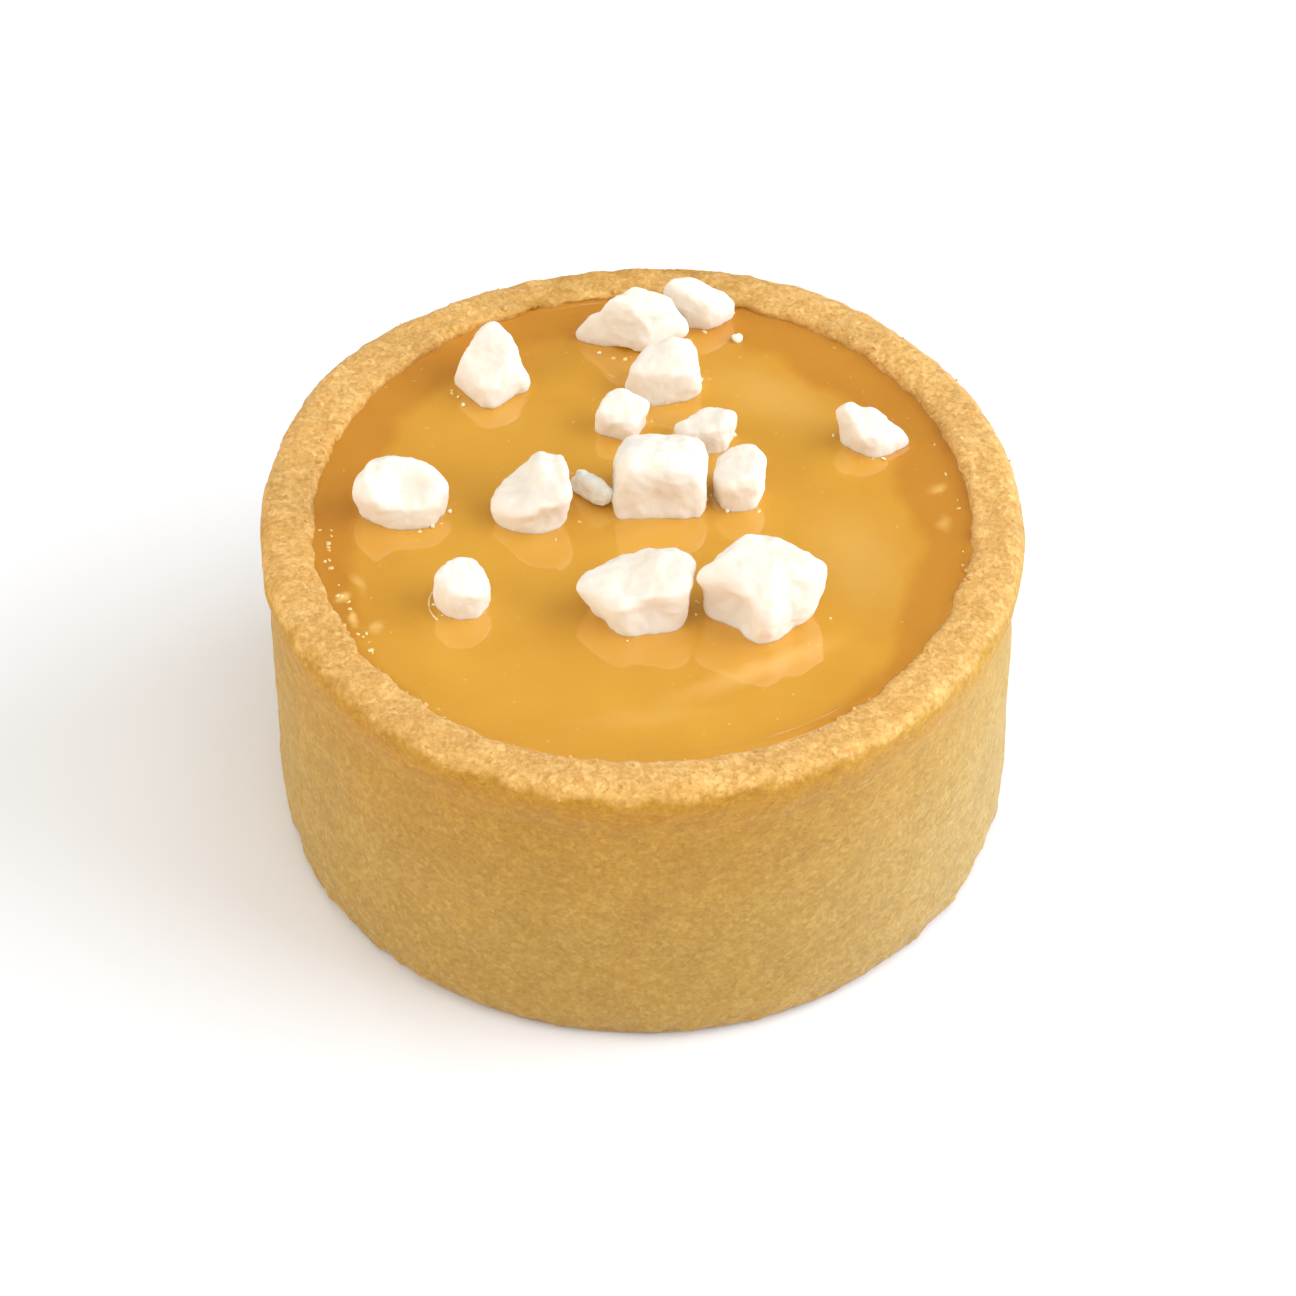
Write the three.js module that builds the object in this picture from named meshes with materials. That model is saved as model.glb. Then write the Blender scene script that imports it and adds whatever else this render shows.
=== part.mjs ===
// A small straight-sided shortcrust tartlet, filled with glazed curd and topped with broken
// chunks of meringue. Millimetres, +Z up, standing on z = 0 with its outline centred on the Z axis.
import * as THREE from "three";
import { mergeVertices } from "three/addons/utils/BufferGeometryUtils.js";

// Pastry case
const RIM_RADIUS = 26;
const HEIGHT = 25.3;
const WALL_TOP_RADIUS = 25.5;
const WALL_BASE_RADIUS = 25.6;
const BASE_EDGE_ROUND = 1.3;
const CRUST_THICKNESS = 3.7;
const LIP_HEIGHT = 4.5;
const LIP_SHOULDER = 1.5;
const RIM_ROUND = 1.4;
const INNER_EDGE_ROUND = 0.7;
const AROUND = 96;
const CURVE_STEPS = 4;

// Hand-pressed unevenness of the case: how much in mm, round which bearing and how wide in degrees
const SWELL = { amount: 0.5, bearing: 146, spread: 15 };
const FLAT = { amount: 0.65, bearing: 105, spread: 27 };
const DIP = { amount: 0.3, bearing: 95, spread: 35 };
const RIM_WAVE = 0.1;
const CREST_DEPTH = 0.6;

// Curd filling
const FILLING_DROP = 0.9;
const GAP = 0.3;

// Meringue: how crisp the broken edges are, and how far each face stands from the chunk's middle
const CHUNK_DETAIL = 3;
const EDGE_HARDNESS = 9;
const FOOT_REACH = 0.6;
const TOP_REACH = 0.75;
const SIDE_REACH = 0.8;
const SIDE_REACH_SPREAD = 0.12;
const SIDE_LEAN_SPREAD = 12;
const MARK_SPREAD = 32;

const INNER_RADIUS = RIM_RADIUS - CRUST_THICKNESS;
const FILLING_TOP = HEIGHT - FILLING_DROP;

// Each chunk: the middle of its foot; its width, depth and height; how many sides it broke into and
// the bearing of its first corner; how far its sides lean in, in degrees; which way its top slopes
// down and how steeply; and any tip (positive reach) or notch (negative) at a bearing and a rise.
// Bearings are in degrees from +X towards +Y.
const CHUNKS = [
  { at: [-0.6, 18.2], size: [8.4, 4.0, 4.1], sides: 4, turn: 185, taper: 16, slope: [330, 10],
    marks: [[188, -30, 0.3]] },
  { at: [3.9, 20.2], size: [5.2, 2.7, 3.4], sides: 4, turn: 10, taper: 2, slope: [0, 26],
    marks: [[310, 0, 0.2]] },
  { at: [1.4, 13.1], size: [5.4, 4.2, 3.2], sides: 5, turn: 40, taper: 2, slope: [190, 14],
    marks: [[45, 40, 0.1]] },
  { at: [-1.3, 9.0], size: [3.8, 3.3, 2.5], sides: 4, turn: 290, taper: -4, slope: [270, 10], marks: [] },
  { at: [-10.4, 13.3], size: [5.3, 5.2, 4.1], sides: 4, turn: 85, taper: 10, slope: [265, 20],
    marks: [[90, 55, 0.3], [10, 0, 0.1], [150, 35, -0.08]] },
  { at: [-16.35, 0.9], size: [6.7, 4.6, 3.5], sides: 6, turn: 10, taper: -5, slope: [340, 18],
    marks: [[150, 35, 0.08]] },
  { at: [-7.35, 0.3], size: [5.8, 5.2, 4.1], sides: 5, turn: 55, taper: -12, slope: [185, 30],
    marks: [[75, 55, 0.2]] },
  { at: [1.1, 2.2], size: [6.6, 5.0, 4.8], sides: 4, turn: 47, taper: 4, slope: [20, 12], marks: [] },
  { at: [4.3, 7.6], size: [4.4, 2.8, 2.6], sides: 5, turn: 20, taper: 4, slope: [190, 18],
    marks: [[20, 35, 0.12]] },
  { at: [6.6, 2.3], size: [3.7, 3.8, 3.5], sides: 6, turn: 10, taper: -4, slope: [200, 12], marks: [] },
  { at: [15.8, 7.6], size: [5.4, 3.6, 3.0], sides: 4, turn: 350, taper: 4, slope: [0, 26],
    marks: [[62, 48, -0.4], [165, 50, 0.6], [195, 0, 0.35]] },
  { at: [-11.9, -8.1], size: [3.8, 3.4, 3.3], sides: 6, turn: 0, taper: 0, slope: [340, 10], marks: [] },
  { at: [-0.45, -8.9], size: [8.2, 5.6, 4.5], sides: 5, turn: 180, taper: -6, slope: [175, 16],
    marks: [[180, 25, 0.15], [35, 50, 0.15]] },
  { at: [8.1, -9.3], size: [8.5, 6.7, 5.6], sides: 4, turn: 272, taper: -6, slope: [265, 12],
    marks: [[85, 50, -0.2], [180, 40, -0.12], [0, 45, -0.12], [270, -20, 0.14]] },
];

const CRUST_FINISH = { color: 0xcf9c5c, roughness: 0.85, metalness: 0 };
const CURD_FINISH = { color: 0xe0a047, roughness: 0.15, metalness: 0 };
const MERINGUE_FINISH = { color: 0xf7ecdc, roughness: 0.9, metalness: 0 };

function randomStream(seed) {
  let state = seed;
  return () => {
    state = (state * 48271) % 2147483647;
    return state / 2147483647;
  };
}

function radians(degrees) {
  return THREE.MathUtils.degToRad(degrees);
}

function direction(bearing, rise) {
  const level = Math.cos(radians(rise));
  return new THREE.Vector3(
    level * Math.cos(radians(bearing)),
    level * Math.sin(radians(bearing)),
    Math.sin(radians(rise)),
  );
}

// Closed solid with shared vertices, turned so that the lathe's own Y axis becomes +Z.
function turned(points) {
  const geometry = new THREE.LatheGeometry(points, AROUND);
  geometry.rotateX(Math.PI / 2);
  geometry.deleteAttribute("normal");
  geometry.deleteAttribute("uv");
  return mergeVertices(geometry, 1e-4);
}

// A smooth bump in mm, highest where the angle (radians) meets the bump's bearing.
function bumpAt(angle, bump) {
  const offset = angle - radians(bump.bearing);
  const away = Math.atan2(Math.sin(offset), Math.cos(offset));
  return bump.amount * Math.exp(-((away / radians(bump.spread)) ** 2));
}

function caseProfile() {
  const profile = new THREE.Path();
  profile.moveTo(0, 0);
  profile.lineTo(WALL_BASE_RADIUS - BASE_EDGE_ROUND, 0);
  profile.quadraticCurveTo(WALL_BASE_RADIUS, 0, WALL_BASE_RADIUS, BASE_EDGE_ROUND);
  profile.lineTo(WALL_TOP_RADIUS, HEIGHT - LIP_HEIGHT);
  profile.quadraticCurveTo(RIM_RADIUS, HEIGHT - LIP_HEIGHT / 2, RIM_RADIUS, HEIGHT - LIP_SHOULDER);
  profile.quadraticCurveTo(RIM_RADIUS, HEIGHT, RIM_RADIUS - RIM_ROUND, HEIGHT);
  profile.lineTo(INNER_RADIUS + INNER_EDGE_ROUND, HEIGHT);
  profile.quadraticCurveTo(INNER_RADIUS, HEIGHT, INNER_RADIUS, HEIGHT - INNER_EDGE_ROUND);
  profile.lineTo(INNER_RADIUS, CRUST_THICKNESS);
  profile.lineTo(0, CRUST_THICKNESS);
  return profile.getPoints(CURVE_STEPS);
}

// The outer skin follows the hand-pressed outline, and the rim's crest rises and falls a little.
function pressByHand(geometry) {
  const place = geometry.attributes.position;
  for (let i = 0; i < place.count; i++) {
    const x = place.getX(i);
    const y = place.getY(i);
    const z = place.getZ(i);
    const radius = Math.hypot(x, y);
    const angle = Math.atan2(y, x);
    const outward = THREE.MathUtils.smoothstep(radius, INNER_RADIUS, WALL_TOP_RADIUS);
    const push = outward * (bumpAt(angle, SWELL) - bumpAt(angle, FLAT));
    const scale = radius > 0 ? 1 + push / radius : 1;
    const crest = THREE.MathUtils.smoothstep(z, HEIGHT - CREST_DEPTH, HEIGHT);
    const wave = RIM_WAVE * (Math.sin(3 * angle) + 0.5 * Math.sin(7 * angle));
    place.setXYZ(i, x * scale, y * scale, z + crest * (wave - bumpAt(angle, DIP)));
  }
}

function pastryCase() {
  const geometry = turned(caseProfile());
  pressByHand(geometry);
  return geometry;
}

// The curd fills the case to just below the rim.
function curdFilling() {
  const radius = INNER_RADIUS - GAP;
  return turned([
    new THREE.Vector2(0, CRUST_THICKNESS + GAP),
    new THREE.Vector2(radius, CRUST_THICKNESS + GAP),
    new THREE.Vector2(radius, FILLING_TOP),
    new THREE.Vector2(0, FILLING_TOP),
  ]);
}

// Broken faces round the chunk, each a little uneven, with a flat foot and a sloping top.
function brokenFaces(chunk, random) {
  const [downhill, steepness] = chunk.slope;
  const faces = [{ facing: direction(0, -90), reach: FOOT_REACH }];
  faces.push({ facing: direction(downhill, 90 - steepness), reach: TOP_REACH });
  for (let i = 0; i < chunk.sides; i++) {
    const bearing = chunk.turn + (360 * (i + 0.5)) / chunk.sides;
    const rise = chunk.taper + SIDE_LEAN_SPREAD * (random() - 0.5);
    const reach = SIDE_REACH + SIDE_REACH_SPREAD * (random() - 0.5);
    faces.push({ facing: direction(bearing, rise), reach });
  }
  return faces;
}

function chunkRadius(heading, faces, marks) {
  let sum = 0;
  for (const { facing, reach } of faces) {
    const lean = heading.dot(facing);
    if (lean > 0) sum += (lean / reach) ** EDGE_HARDNESS;
  }
  let radius = sum ** (-1 / EDGE_HARDNESS);
  for (const [bearing, rise, reach] of marks) {
    const away = heading.angleTo(direction(bearing, rise));
    radius *= 1 + reach * Math.exp(-((away / radians(MARK_SPREAD)) ** 2));
  }
  return radius;
}

// A ball pushed in to the broken faces, then brought to the chunk's size with its foot at z = 0.
function meringueChunk(chunk, order) {
  const random = randomStream(order + 1);
  const faces = brokenFaces(chunk, random);
  const ball = new THREE.IcosahedronGeometry(1, CHUNK_DETAIL);
  ball.deleteAttribute("normal");
  ball.deleteAttribute("uv");
  const geometry = mergeVertices(ball, 1e-4);
  const place = geometry.attributes.position;
  const heading = new THREE.Vector3();
  for (let i = 0; i < place.count; i++) {
    heading.fromBufferAttribute(place, i).normalize();
    const radius = chunkRadius(heading, faces, chunk.marks);
    place.setXYZ(i, heading.x * radius, heading.y * radius, heading.z * radius);
  }
  geometry.computeBoundingBox();
  const { min, max } = geometry.boundingBox;
  const [width, depth, height] = chunk.size;
  geometry.translate(-(min.x + max.x) / 2, -(min.y + max.y) / 2, -min.z);
  geometry.scale(width / (max.x - min.x), depth / (max.y - min.y), height / (max.z - min.z));
  return geometry;
}

function named(name, geometry, finish) {
  const mesh = new THREE.Mesh(geometry, new THREE.MeshStandardMaterial(finish));
  mesh.name = name;
  return mesh;
}

function meringueTopping() {
  const topping = new THREE.Group();
  topping.position.z = FILLING_TOP + GAP;
  CHUNKS.forEach((chunk, order) => {
    const number = String(order + 1).padStart(2, "0");
    const mesh = named(`meringue_${number}`, meringueChunk(chunk, order), MERINGUE_FINISH);
    mesh.position.set(chunk.at[0], chunk.at[1], 0);
    topping.add(mesh);
  });
  return topping;
}

function tartlet() {
  const shell = pastryCase();
  shell.computeBoundingBox();
  const middle = shell.boundingBox.getCenter(new THREE.Vector3());
  const whole = new THREE.Group();
  whole.add(named("pastry_case", shell, CRUST_FINISH));
  whole.add(named("curd_filling", curdFilling(), CURD_FINISH));
  whole.add(meringueTopping());
  whole.position.set(-middle.x, -middle.y, 0);
  return whole;
}

export default tartlet();
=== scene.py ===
# %% [markdown]
# # A small curd tartlet with broken meringue
#
# The finished thing is a straight-sided shortcrust case, filled almost to the rim with a glossy
# curd under a clear glaze, with broken white meringue scattered over it. The fixed model gives every
# size and place. Each cell below makes one piece or one finish and says why it is made that way.

import math
import random

import bpy
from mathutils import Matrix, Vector


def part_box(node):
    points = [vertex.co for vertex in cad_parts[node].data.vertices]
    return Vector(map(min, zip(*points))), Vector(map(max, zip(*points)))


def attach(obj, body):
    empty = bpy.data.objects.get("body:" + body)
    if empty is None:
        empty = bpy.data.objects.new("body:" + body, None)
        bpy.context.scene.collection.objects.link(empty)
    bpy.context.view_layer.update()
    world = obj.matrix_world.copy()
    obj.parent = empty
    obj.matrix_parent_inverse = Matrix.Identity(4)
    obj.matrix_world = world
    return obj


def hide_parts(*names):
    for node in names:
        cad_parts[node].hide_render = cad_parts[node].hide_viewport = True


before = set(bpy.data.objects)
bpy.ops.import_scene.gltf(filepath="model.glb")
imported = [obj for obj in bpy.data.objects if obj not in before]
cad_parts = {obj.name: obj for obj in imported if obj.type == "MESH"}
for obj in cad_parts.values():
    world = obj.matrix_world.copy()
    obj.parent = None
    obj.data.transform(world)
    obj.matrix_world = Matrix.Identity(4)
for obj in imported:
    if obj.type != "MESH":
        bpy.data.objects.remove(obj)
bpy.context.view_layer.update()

MM = 0.001

# %% [markdown]
# ## Sizes taken from the fixed model
#
# Every size could be typed in again here, but then the looks and the fixed model could drift apart.
# The boxes of the fixed nodes give them instead: the axis and the curd's width come from the curd,
# and the rim comes from the case. Only roundings and making sizes, such as a pitch, are typed in.

# %% Read the sizes
CRUST_TO_CURD = 0.3 * MM
case_low, case_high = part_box("pastry_case")
curd_low, curd_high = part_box("curd_filling")
AXIS = Vector(((curd_low.x + curd_high.x) / 2, (curd_low.y + curd_high.y) / 2, 0))
RIM_HEIGHT = case_high.z
RIM_RADIUS = (case_high.x - case_low.x) / 2
INNER_RADIUS = (curd_high.x - curd_low.x) / 2 + CRUST_TO_CURD
CURD_TOP = curd_high.z
CASE_FLOOR = curd_low.z - CRUST_TO_CURD
CHUNKS = sorted(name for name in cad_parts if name.startswith("meringue"))
print("rim radius", round(RIM_RADIUS / MM, 2), "height", round(RIM_HEIGHT / MM, 2), "chunks", len(CHUNKS))

# %% [markdown]
# ## Camera
#
# The tartlet is seen from the front and from well above, through a long lens from some way off, so
# the far rim is hardly smaller than the near one. A short lens close up would make it look huge.
# The camera's turn is worked out from its view direction, which needs no target object.

# %% Place the camera
CAMERA_DISTANCE = 364 * MM
CAMERA_RISE = math.radians(46.2)
LENS = 145.3
SENSOR_WIDTH = 36
FRAMING_SHIFT = (0.0045, -0.0056)
NEAREST_SEEN = 0.01

aim = AXIS + Vector((0, 0, RIM_HEIGHT / 2))
towards_camera = Vector((0, -math.cos(CAMERA_RISE), math.sin(CAMERA_RISE)))
bpy.ops.object.select_all(action="DESELECT")
bpy.ops.object.camera_add(location=aim + CAMERA_DISTANCE * towards_camera)
camera = bpy.context.active_object
camera.rotation_euler = towards_camera.to_track_quat("Z", "Y").to_euler()
camera.data.lens = LENS
camera.data.sensor_width = SENSOR_WIDTH
camera.data.shift_x, camera.data.shift_y = FRAMING_SHIFT
camera.data.clip_start = NEAREST_SEEN
bpy.context.scene.camera = camera
bpy.context.scene.view_settings.view_transform = "Standard"
print("camera at", [round(v, 3) for v in camera.location])

# %% [markdown]
# ## Light
#
# The light is that of a small food studio: one large soft light overhead, a cool one from the right
# and a weaker warm one from the left for the two sides of the wall, and a small one far back whose
# glints show that the glaze is wet. Sun lamps would be easier, but their shadows are too hard for
# this. All four stand clear of the spot that the level glaze mirrors into the camera.

# %% Light the scene
LIGHT_DISTANCE = 0.7


def soft_light(name, bearing, rise, size, power, colour=(1, 1, 1)):
    """A square area light that looks at the middle of the tartlet; bearing and rise in degrees."""
    out = Vector((
        math.cos(math.radians(bearing)) * math.cos(math.radians(rise)),
        math.sin(math.radians(bearing)) * math.cos(math.radians(rise)),
        math.sin(math.radians(rise)),
    ))
    bpy.ops.object.select_all(action="DESELECT")
    bpy.ops.object.light_add(type="AREA", location=aim + LIGHT_DISTANCE * out)
    light = bpy.context.active_object
    light.name = name
    light.rotation_euler = out.to_track_quat("Z", "Y").to_euler()
    light.data.size = size
    light.data.energy = power
    light.data.color = colour
    print(name, "at", [round(v, 2) for v in light.location])


soft_light("overhead_light", bearing=30, rise=80, size=0.6, power=1.27)
soft_light("side_light", bearing=0, rise=22, size=0.8, power=7.4, colour=(0.90, 1.0, 1.16))
soft_light("left_light", bearing=196, rise=18, size=0.8, power=3.0, colour=(1.0, 0.98, 0.92))
soft_light("glint_light", bearing=118, rise=30, size=0.12, power=0.25)

# %% [markdown]
# ## Room and table top
#
# A wet glaze mirrors the room, so the room is part of the look. One even sky would be simpler, but
# it would lie over the curd like milk. Here the wall behind the tartlet is darker than the one
# behind the cook, so that the glaze mirrors the white meringue and not the room.

# %% Make the room
ROOM_FRONT = 0.83
ROOM_BACK = 0.18
ROOM_COLOUR = (1.0, 0.99, 0.975, 1)
TURNING_POINT = 0.6

room = bpy.data.worlds.new("pale_room")
room.use_nodes = True
nodes, links = room.node_tree.nodes, room.node_tree.links
towards = nodes.new("ShaderNodeTexCoord")
apart = nodes.new("ShaderNodeSeparateXYZ")
strength = nodes.new("ShaderNodeMapRange")
strength.inputs["From Min"].default_value = -TURNING_POINT
strength.inputs["From Max"].default_value = TURNING_POINT
strength.inputs["To Min"].default_value = ROOM_FRONT
strength.inputs["To Max"].default_value = ROOM_BACK
links.new(towards.outputs["Generated"], apart.inputs["Vector"])
links.new(apart.outputs["Y"], strength.inputs["Value"])
links.new(strength.outputs["Result"], nodes["Background"].inputs["Strength"])
nodes["Background"].inputs["Color"].default_value = ROOM_COLOUR
bpy.context.scene.world = room
print("room strength from", ROOM_FRONT, "in front to", ROOM_BACK, "behind")

# %% Lay the table top
TABLE_SIZE = 4
TABLE_DROP = 0.02 * MM
TABLE_COLOUR = (0.97, 0.97, 0.97, 1)

bpy.ops.object.select_all(action="DESELECT")
bpy.ops.mesh.primitive_plane_add(size=TABLE_SIZE, location=(0, 0, -TABLE_DROP))
table_top = bpy.context.active_object
table_top.name = "table_top"
table_finish = bpy.data.materials.new("pale_table")
table_finish.use_nodes = True
table_shader = table_finish.node_tree.nodes["Principled BSDF"]
table_shader.inputs["Base Color"].default_value = TABLE_COLOUR
table_shader.inputs["Roughness"].default_value = 0.9
table_top.data.materials.append(table_finish)
print("table top is staged,", TABLE_SIZE, "m across")

# %% [markdown]
# ## Helpers for modelling by hand
#
# An operator works on whatever is selected, so each step first selects just its own piece. A
# modifier is added, set and applied at once, so that the piece ends as plain mesh.

# %% Selection and modifiers
def take(piece):
    """Make one piece the only selected one."""
    bpy.ops.object.select_all(action="DESELECT")
    piece.select_set(True)
    bpy.context.view_layer.objects.active = piece


def apply_modifier(piece, kind, **settings):
    """Add one modifier, set it and apply it."""
    take(piece)
    modifier = piece.modifiers.new(kind.lower(), kind)
    for name, value in settings.items():
        setattr(modifier, name, value)
    bpy.ops.object.modifier_apply(modifier=modifier.name)


def settle(piece):
    """Put the piece's place and size in its mesh, so that its object sits at the origin."""
    take(piece)
    bpy.ops.object.transform_apply(location=True, rotation=True, scale=True)


# %% [markdown]
# Unevenness has to stay where it belongs: grains on the rim, chips at the foot. Painting weights by
# hand would do, but a rule by place can be read and changed. The relief itself is a procedural
# texture whose grey pushes the surface in and out, which gives real shape where bump only shades.

# %% Weights and textures
def group_by_place(piece, name, weight_at):
    """A vertex group whose weight depends on radius, height above the table and distance back."""
    group = piece.vertex_groups.new(name=name)
    for vertex in piece.data.vertices:
        away = vertex.co - AXIS
        weight = weight_at(math.hypot(away.x, away.y), away.z, away.y)
        if weight > 0:
            group.add([vertex.index], min(1.0, weight), "REPLACE")
    return group.name


def fade(value, start, end):
    """0 at start, 1 at end, smooth in between."""
    share = max(0.0, min(1.0, (value - start) / (end - start)))
    return share * share * (3 - 2 * share)


def lumps(name, kind, size):
    """A procedural texture whose features are about size across."""
    texture = bpy.data.textures.new(name, kind)
    texture.noise_scale = size
    return texture


def push_out(piece, texture, height, group="", direction="NORMAL", level=0.5):
    """Raise and sink the surface by a texture, over height in all; level is the shade that stays put."""
    apply_modifier(
        piece, "DISPLACE", texture=texture, texture_coords="LOCAL", strength=height,
        mid_level=level, vertex_group=group, direction=direction,
    )


def shift(piece, group, direction, by):
    """Move a group along an axis, each vertex by its own weight."""
    apply_modifier(piece, "DISPLACE", vertex_group=group, direction=direction, strength=by, mid_level=0.0)


# %% [markdown]
# ## Spinning a round piece
#
# The case and the curd are both round. A cylinder could be cut and pushed into shape, but a
# potter's way is better: one outline is drawn from the axis out and back to the axis, and then
# spun once round. The outline has close stations where the surface shows and few where it is hidden.

# %% Draw an outline
def straight(start, end, pitch):
    """Stations from start to end, without the start, about one pitch apart."""
    start, end = Vector(start), Vector(end)
    count = max(1, round((end - start).length / pitch))
    return [start.lerp(end, i / count) for i in range(1, count + 1)]


def bend(start, corner, end, pitch):
    """A smooth curve from start to end that leans towards the corner."""
    start, corner, end = Vector(start), Vector(corner), Vector(end)
    count = max(2, round(((corner - start).length + (end - corner).length) / pitch))
    shares = [i / count for i in range(1, count + 1)]
    return [start.lerp(corner, s).lerp(corner.lerp(end, s), s) for s in shares]


# %% Spin an outline
MERGE_GAP = 0.002 * MM


def spin_solid(name, outline, steps):
    """A closed solid: the outline, as (radius, height) stations, spun once round the axis."""
    bpy.ops.object.select_all(action="DESELECT")
    radius, height = outline[0]
    bpy.ops.mesh.primitive_plane_add(size=MM, location=(0, 0, 0))
    piece = bpy.context.active_object
    piece.name = name
    bpy.ops.object.mode_set(mode="EDIT")
    bpy.ops.mesh.select_all(action="SELECT")
    bpy.ops.mesh.merge(type="CENTER")
    bpy.ops.mesh.select_all(action="SELECT")
    bpy.ops.transform.translate(value=(AXIS.x + radius, AXIS.y, height))
    for before, after in zip(outline, outline[1:]):
        step = (after[0] - before[0], 0, after[1] - before[1])
        bpy.ops.mesh.extrude_vertices_move(TRANSFORM_OT_translate={"value": step})
    bpy.ops.mesh.select_all(action="SELECT")
    bpy.ops.mesh.spin(steps=steps, angle=2 * math.pi, center=AXIS, axis=(0, 0, 1))
    bpy.ops.mesh.select_all(action="SELECT")
    bpy.ops.mesh.remove_doubles(threshold=MERGE_GAP)
    bpy.ops.mesh.normals_make_consistent(inside=False)
    bpy.ops.object.mode_set(mode="OBJECT")
    bpy.ops.object.shade_smooth()
    print(name, "has", len(piece.data.polygons), "faces")
    return piece


# %% [markdown]
# ## The shortcrust case
#
# Shortcrust is pressed into a straight ring and baked: the wall takes the ring's smoothness, and
# the rim stands a little proud of it. The outline is spun, laid on to the fixed model so that it
# follows its hand-pressed unevenness, and smoothed.

# %% Spin the case
WALL_RADIUS = RIM_RADIUS - 0.45 * MM
FOOT_ROUND = 1.3 * MM
LIP_HEIGHT = 4.5 * MM
SHOULDER = 1.5 * MM
RIM_ROUND = 1.4 * MM
INNER_ROUND = 0.7 * MM
SEEN_BELOW_CURD = 0.8 * MM
WALL_PITCH = 0.3 * MM
RIM_PITCH = 0.2 * MM
FLOOR_PITCH = 2 * MM
HIDDEN_PITCH = 6 * MM
CRUST_STEPS = 512

wall_top = RIM_HEIGHT - LIP_HEIGHT
shoulder = (RIM_RADIUS, RIM_HEIGHT - SHOULDER)
rim_outside = (RIM_RADIUS - RIM_ROUND, RIM_HEIGHT)
rim_inside = (INNER_RADIUS + INNER_ROUND, RIM_HEIGHT)
inner_top = (INNER_RADIUS, RIM_HEIGHT - INNER_ROUND)
outline = [Vector((0, 0))]
outline += straight(outline[-1], (WALL_RADIUS - FOOT_ROUND, 0), FLOOR_PITCH)
outline += bend(outline[-1], (WALL_RADIUS, 0), (WALL_RADIUS, FOOT_ROUND), WALL_PITCH)
outline += straight(outline[-1], (WALL_RADIUS, wall_top), WALL_PITCH)
outline += bend(outline[-1], (RIM_RADIUS, wall_top + LIP_HEIGHT / 2), shoulder, WALL_PITCH)
outline += bend(outline[-1], (RIM_RADIUS, RIM_HEIGHT), rim_outside, RIM_PITCH)
outline += straight(outline[-1], rim_inside, RIM_PITCH)
outline += bend(outline[-1], (INNER_RADIUS, RIM_HEIGHT), inner_top, RIM_PITCH)
outline += straight(outline[-1], (INNER_RADIUS, CURD_TOP - SEEN_BELOW_CURD), RIM_PITCH)
outline += straight(outline[-1], (INNER_RADIUS, CASE_FLOOR), HIDDEN_PITCH)
outline += straight(outline[-1], (0, CASE_FLOOR), HIDDEN_PITCH)

crust = spin_solid("crust", outline, steps=CRUST_STEPS)
apply_modifier(crust, "SHRINKWRAP", target=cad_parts["pastry_case"])
apply_modifier(crust, "SMOOTH", factor=0.5, iterations=3)

# %% [markdown]
# A thumb has pressed the inside of the rim a little thinner at the front. One side of a ring could
# be moved by a proportional pull, but a weight that fades with place keeps the outside untouched.

# %% Press the front of the rim
FRONT_PRESS = 0.45 * MM


def inside_front(radius, height, back):
    """1 on the upper inside wall at the front, fading over the rim, round the sides and down."""
    at_front = fade(-back, 8 * MM, 20 * MM)
    inside = 1 - fade(radius, INNER_RADIUS + 0.4 * MM, INNER_RADIUS + 2.2 * MM)
    upper = fade(height, CASE_FLOOR + 4 * MM, CURD_TOP - 2 * MM)
    return at_front * inside * upper


shift(crust, group_by_place(crust, "inside_front", inside_front), "Y", -FRONT_PRESS)
print("rim pressed by", FRONT_PRESS / MM, "mm at the front")

# %% [markdown]
# Baked dough is never even. Three sizes of unevenness are pressed into the surface: slow swells of a
# few millimetres, crumbs of about one, and grains of half a millimetre. The grains are strongest on
# the rim, which no ring has smoothed. The foot and the edge at the curd get chips of their own.

# %% Say where the case is rough
FOOT_SKIN = 0.5 * MM


def rim_part(radius, height, back):
    return fade(height, RIM_HEIGHT - 2.0 * MM, RIM_HEIGHT - 0.7 * MM)


def wall_part(radius, height, back):
    return fade(radius, INNER_RADIUS, WALL_RADIUS - MM) * fade(height, 0, MM)


def foot_part(radius, height, back):
    """The rounded foot, but not the skin that stands on the table."""
    outside = fade(radius, 20 * MM, 24 * MM)
    return outside * fade(height, 0, FOOT_SKIN) * (1 - fade(height, 0.8 * MM, 3 * MM))


def inner_edge_part(radius, height, back):
    inside = 1 - fade(radius, INNER_RADIUS + 0.3 * MM, INNER_RADIUS + 1.6 * MM)
    return fade(height, CURD_TOP - 1.5 * MM, CURD_TOP - 0.3 * MM) * inside


# %% Roughen the case
on_rim = group_by_place(crust, "on_rim", rim_part)
on_wall = group_by_place(crust, "on_wall", wall_part)
at_foot = group_by_place(crust, "at_foot", foot_part)
push_out(crust, lumps("dough_swells", "CLOUDS", 4 * MM), 0.3 * MM, on_wall)
push_out(crust, lumps("dough_crumbs", "CLOUDS", 1.1 * MM), 0.1 * MM, on_wall)
push_out(crust, lumps("rim_crumbs", "CLOUDS", 1.3 * MM), 0.24 * MM, on_rim)
push_out(crust, lumps("rim_grains", "CLOUDS", 0.45 * MM), 0.16 * MM, on_rim)
push_out(crust, lumps("foot_chips", "CLOUDS", 1.8 * MM), 0.8 * MM, at_foot, level=0.75)
inner_edge = group_by_place(crust, "inner_edge", inner_edge_part)
push_out(crust, lumps("edge_chips", "CLOUDS", 1.5 * MM), 0.6 * MM, inner_edge)
print("case roughened at", len(crust.vertex_groups), "places")

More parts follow.
